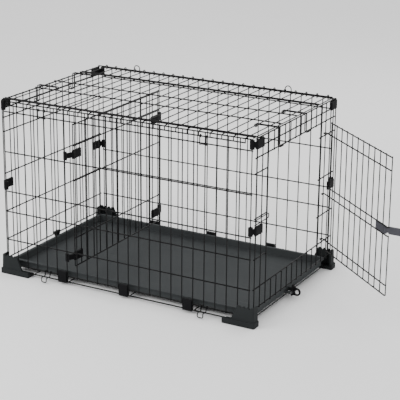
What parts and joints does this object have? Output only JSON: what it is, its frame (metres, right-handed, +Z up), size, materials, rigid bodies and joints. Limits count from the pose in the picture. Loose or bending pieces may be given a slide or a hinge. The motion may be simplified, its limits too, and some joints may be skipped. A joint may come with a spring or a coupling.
{
  "type": "folding wire pet crate",
  "caption": "Folding wire pet crate with a side-hung door standing open, hinged top with hook latches, wire divider, slide-out tray and moulded corner feet",
  "frame": {"origin": "bottom centre of the box round the crate with its door open", "axes": "+X towards the door end, -Y towards the front panel, +Z up"},
  "size_m": [1.3574, 0.633, 0.6174],
  "materials": {
    "wire": "satin black coating",
    "tray": "fine grain",
    "foot": "fine grain",
    "clip": "smooth moulded",
    "latch": "smooth moulded",
    "pin": "plain steel"
  },
  "bodies": {
    "crate": {"front_panel": "wire", "back_panel": "wire", "left_end": "wire", "right_end": "wire", "base_grid": "wire", "tray_stop": "clip", "door_catch": "wire", "foot_front_left": "foot", "corner_clip_front_left_mid": "clip", "corner_clip_front_left_top": "clip", "foot_front_right": "foot", "corner_clip_front_right_mid": "clip", "corner_clip_front_right_top": "clip", "rail_clip_front_left": "clip", "rail_clip_front_middle": "clip", "rail_clip_front_right": "clip", "foot_back_left": "foot", "corner_clip_back_left_mid": "clip", "corner_clip_back_left_top": "clip", "foot_back_right": "foot", "corner_clip_back_right_mid": "clip", "corner_clip_back_right_top": "clip", "rail_clip_back_left": "clip", "rail_clip_back_middle": "clip", "rail_clip_back_right": "clip"},
    "top": {"top_panel": "wire", "back_loop_left": "wire", "back_loop_right": "wire"},
    "tray": {"tray": "tray", "pull_pin": "pin"},
    "tray_pull": {"tray_pull": "clip"},
    "door": {"door": "wire", "latch_housing": "latch", "latch_pin": "pin"},
    "latch_lever": {"latch_lever": "latch"},
    "divider": {"divider": "wire", "divider_clip_front_low": "clip", "divider_clip_front_high": "clip", "divider_clip_back_low": "clip", "divider_clip_back_high": "clip"},
    "base_loop_front_left": {"base_loop_front_left": "wire"},
    "base_loop_front_right": {"base_loop_front_right": "wire"},
    "base_loop_back_left": {"base_loop_back_left": "wire"},
    "base_loop_back_right": {"base_loop_back_right": "wire"},
    "front_hook_left": {"front_hook_left": "wire"},
    "end_hook_left_front": {"end_hook_left_front": "wire"},
    "end_hook_left_back": {"end_hook_left_back": "wire"},
    "front_hook_right": {"front_hook_right": "wire"},
    "end_hook_right_front": {"end_hook_right_front": "wire"},
    "end_hook_right_back": {"end_hook_right_back": "wire"}
  },
  "joints": [
    {"name": "door_hinge", "type": "hinge", "parent": "crate", "child": "door", "pos_m": [0.26342, 0.2079, 0.301], "axis": [0, 0, 1], "range_deg": [-49.5, 100]},
    {"name": "latch_lever_pivot", "type": "hinge", "parent": "door", "child": "latch_lever", "pos_m": [0.58568, -0.05563, 0.301], "axis": [0, 0, 1], "range_deg": [-40.5, 60]},
    {"name": "top_hinge", "type": "hinge", "parent": "crate", "child": "top", "pos_m": [-0.19708, 0.2888, 0.5895], "axis": [-1, 0, 0], "range_deg": [0, 100]},
    {"name": "end_hook_left_front_pivot", "type": "hinge", "parent": "top", "child": "end_hook_left_front", "pos_m": [-0.58708, -0.0756, 0.5939], "axis": [0, 1, 0], "range_deg": [0, 150]},
    {"name": "end_hook_left_back_pivot", "type": "hinge", "parent": "top", "child": "end_hook_left_back", "pos_m": [-0.58708, 0.1323, 0.5939], "axis": [0, 1, 0], "range_deg": [0, 150]},
    {"name": "front_hook_left_pivot", "type": "hinge", "parent": "top", "child": "front_hook_left", "pos_m": [-0.48958, -0.3027, 0.5809], "axis": [-1, 0, 0], "range_deg": [0, 120]},
    {"name": "end_hook_right_front_pivot", "type": "hinge", "parent": "top", "child": "end_hook_right_front", "pos_m": [0.19292, -0.1512, 0.5939], "axis": [0, -1, 0], "range_deg": [0, 150]},
    {"name": "end_hook_right_back_pivot", "type": "hinge", "parent": "top", "child": "end_hook_right_back", "pos_m": [0.19292, 0.0378, 0.5939], "axis": [0, -1, 0], "range_deg": [0, 150]},
    {"name": "front_hook_right_pivot", "type": "hinge", "parent": "top", "child": "front_hook_right", "pos_m": [0.09542, -0.3027, 0.5809], "axis": [-1, 0, 0], "range_deg": [0, 120]},
    {"name": "base_loop_front_left_pivot", "type": "hinge", "parent": "crate", "child": "base_loop_front_left", "pos_m": [-0.48958, -0.2888, 0.0313], "axis": [-1, 0, 0], "range_deg": [0, 70]},
    {"name": "base_loop_front_right_pivot", "type": "hinge", "parent": "crate", "child": "base_loop_front_right", "pos_m": [0.09542, -0.2888, 0.0313], "axis": [-1, 0, 0], "range_deg": [0, 70]},
    {"name": "base_loop_back_left_pivot", "type": "hinge", "parent": "crate", "child": "base_loop_back_left", "pos_m": [-0.48958, 0.2888, 0.0313], "axis": [1, 0, 0], "range_deg": [0, 70]},
    {"name": "base_loop_back_right_pivot", "type": "hinge", "parent": "crate", "child": "base_loop_back_right", "pos_m": [0.09542, 0.2888, 0.0313], "axis": [1, 0, 0], "range_deg": [0, 70]},
    {"name": "divider_hinge", "type": "hinge", "parent": "crate", "child": "divider", "pos_m": [-0.41158, 0.2925, 0.354], "axis": [0, 0, 1], "range_deg": [0, 45]},
    {"name": "tray_slide", "type": "slide", "parent": "crate", "child": "tray", "axis": [1, 0, 0], "range_m": [0, 0.85]},
    {"name": "tray_pull_pivot", "type": "hinge", "parent": "tray", "child": "tray_pull", "pos_m": [0.26862, -0.014, 0.0224], "axis": [0, 1, 0], "range_deg": [0, 40]}
  ]
}
